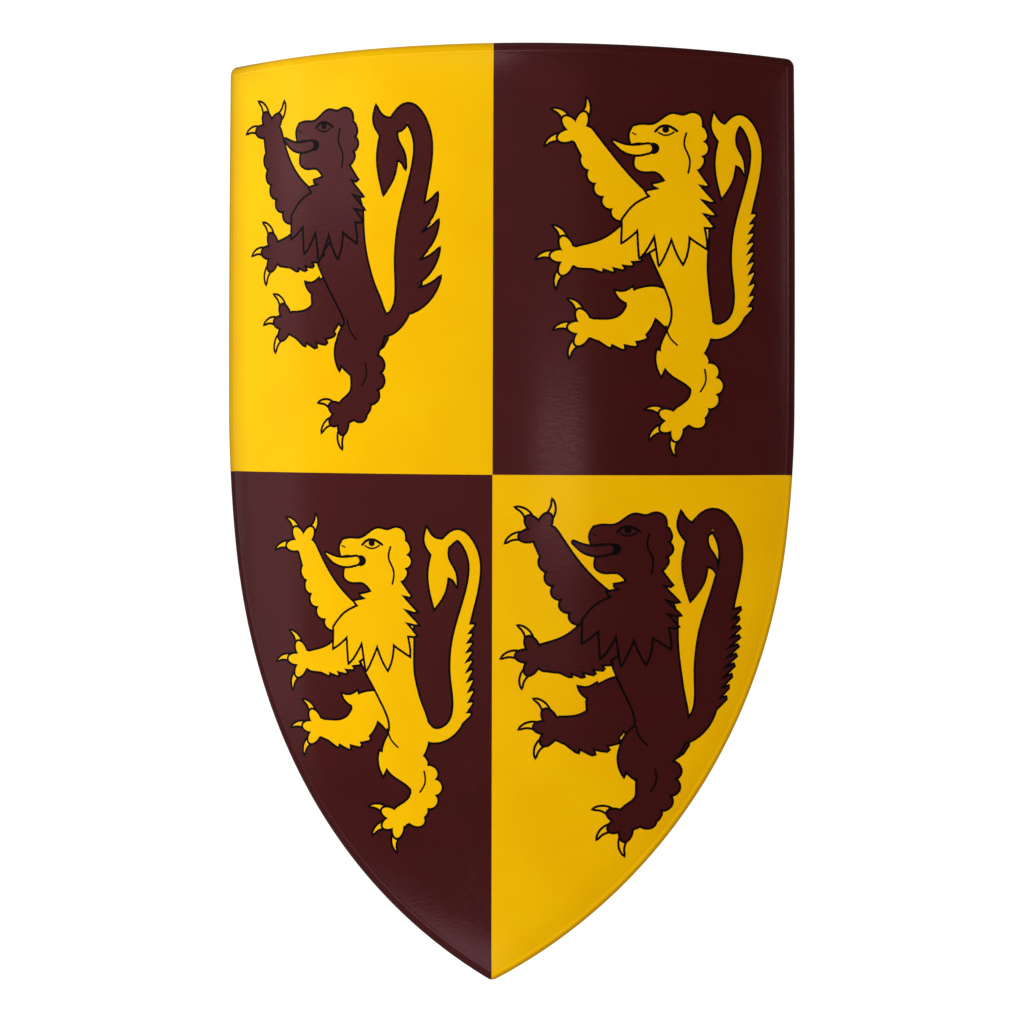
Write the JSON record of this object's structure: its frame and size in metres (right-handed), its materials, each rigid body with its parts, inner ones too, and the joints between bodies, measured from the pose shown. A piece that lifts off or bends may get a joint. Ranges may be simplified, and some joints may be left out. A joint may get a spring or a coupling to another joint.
{
  "type": "heater shield",
  "caption": "Curved heater shield with a straight upper edge, a pointed foot, a rolled rim, a quartered painted face with rampant lions, and leather arm straps behind.",
  "frame": {"origin": "centre of the shield's box in plan, on the surface that its two long edges rest on", "axes": "+Z out of the painted face, which looks up; +Y towards the broad upper edge, away from the point; +X to the right seen from the front"},
  "size_m": [0.54, 0.8604, 0.0787],
  "materials": {
    "painted_cover": "satin varnished paint on a cover glued over a wooden board: quartered golden yellow and maroon, lions in the opposite colour, black outlines",
    "strap_leather": "vegetable-tanned leather, waxed, with burnished edges",
    "rivet_steel": "hammered steel, dull"
  },
  "bodies": {
    "root": {"shield_board": "painted_cover", "forearm_strap": "strap_leather", "hand_grip": "strap_leather", "forearm_strap_rivet_1": "rivet_steel", "forearm_strap_rivet_2": "rivet_steel", "forearm_strap_rivet_3": "rivet_steel", "forearm_strap_rivet_4": "rivet_steel", "hand_grip_rivet_1": "rivet_steel", "hand_grip_rivet_2": "rivet_steel", "hand_grip_rivet_3": "rivet_steel", "hand_grip_rivet_4": "rivet_steel"}
  },
  "joints": []
}
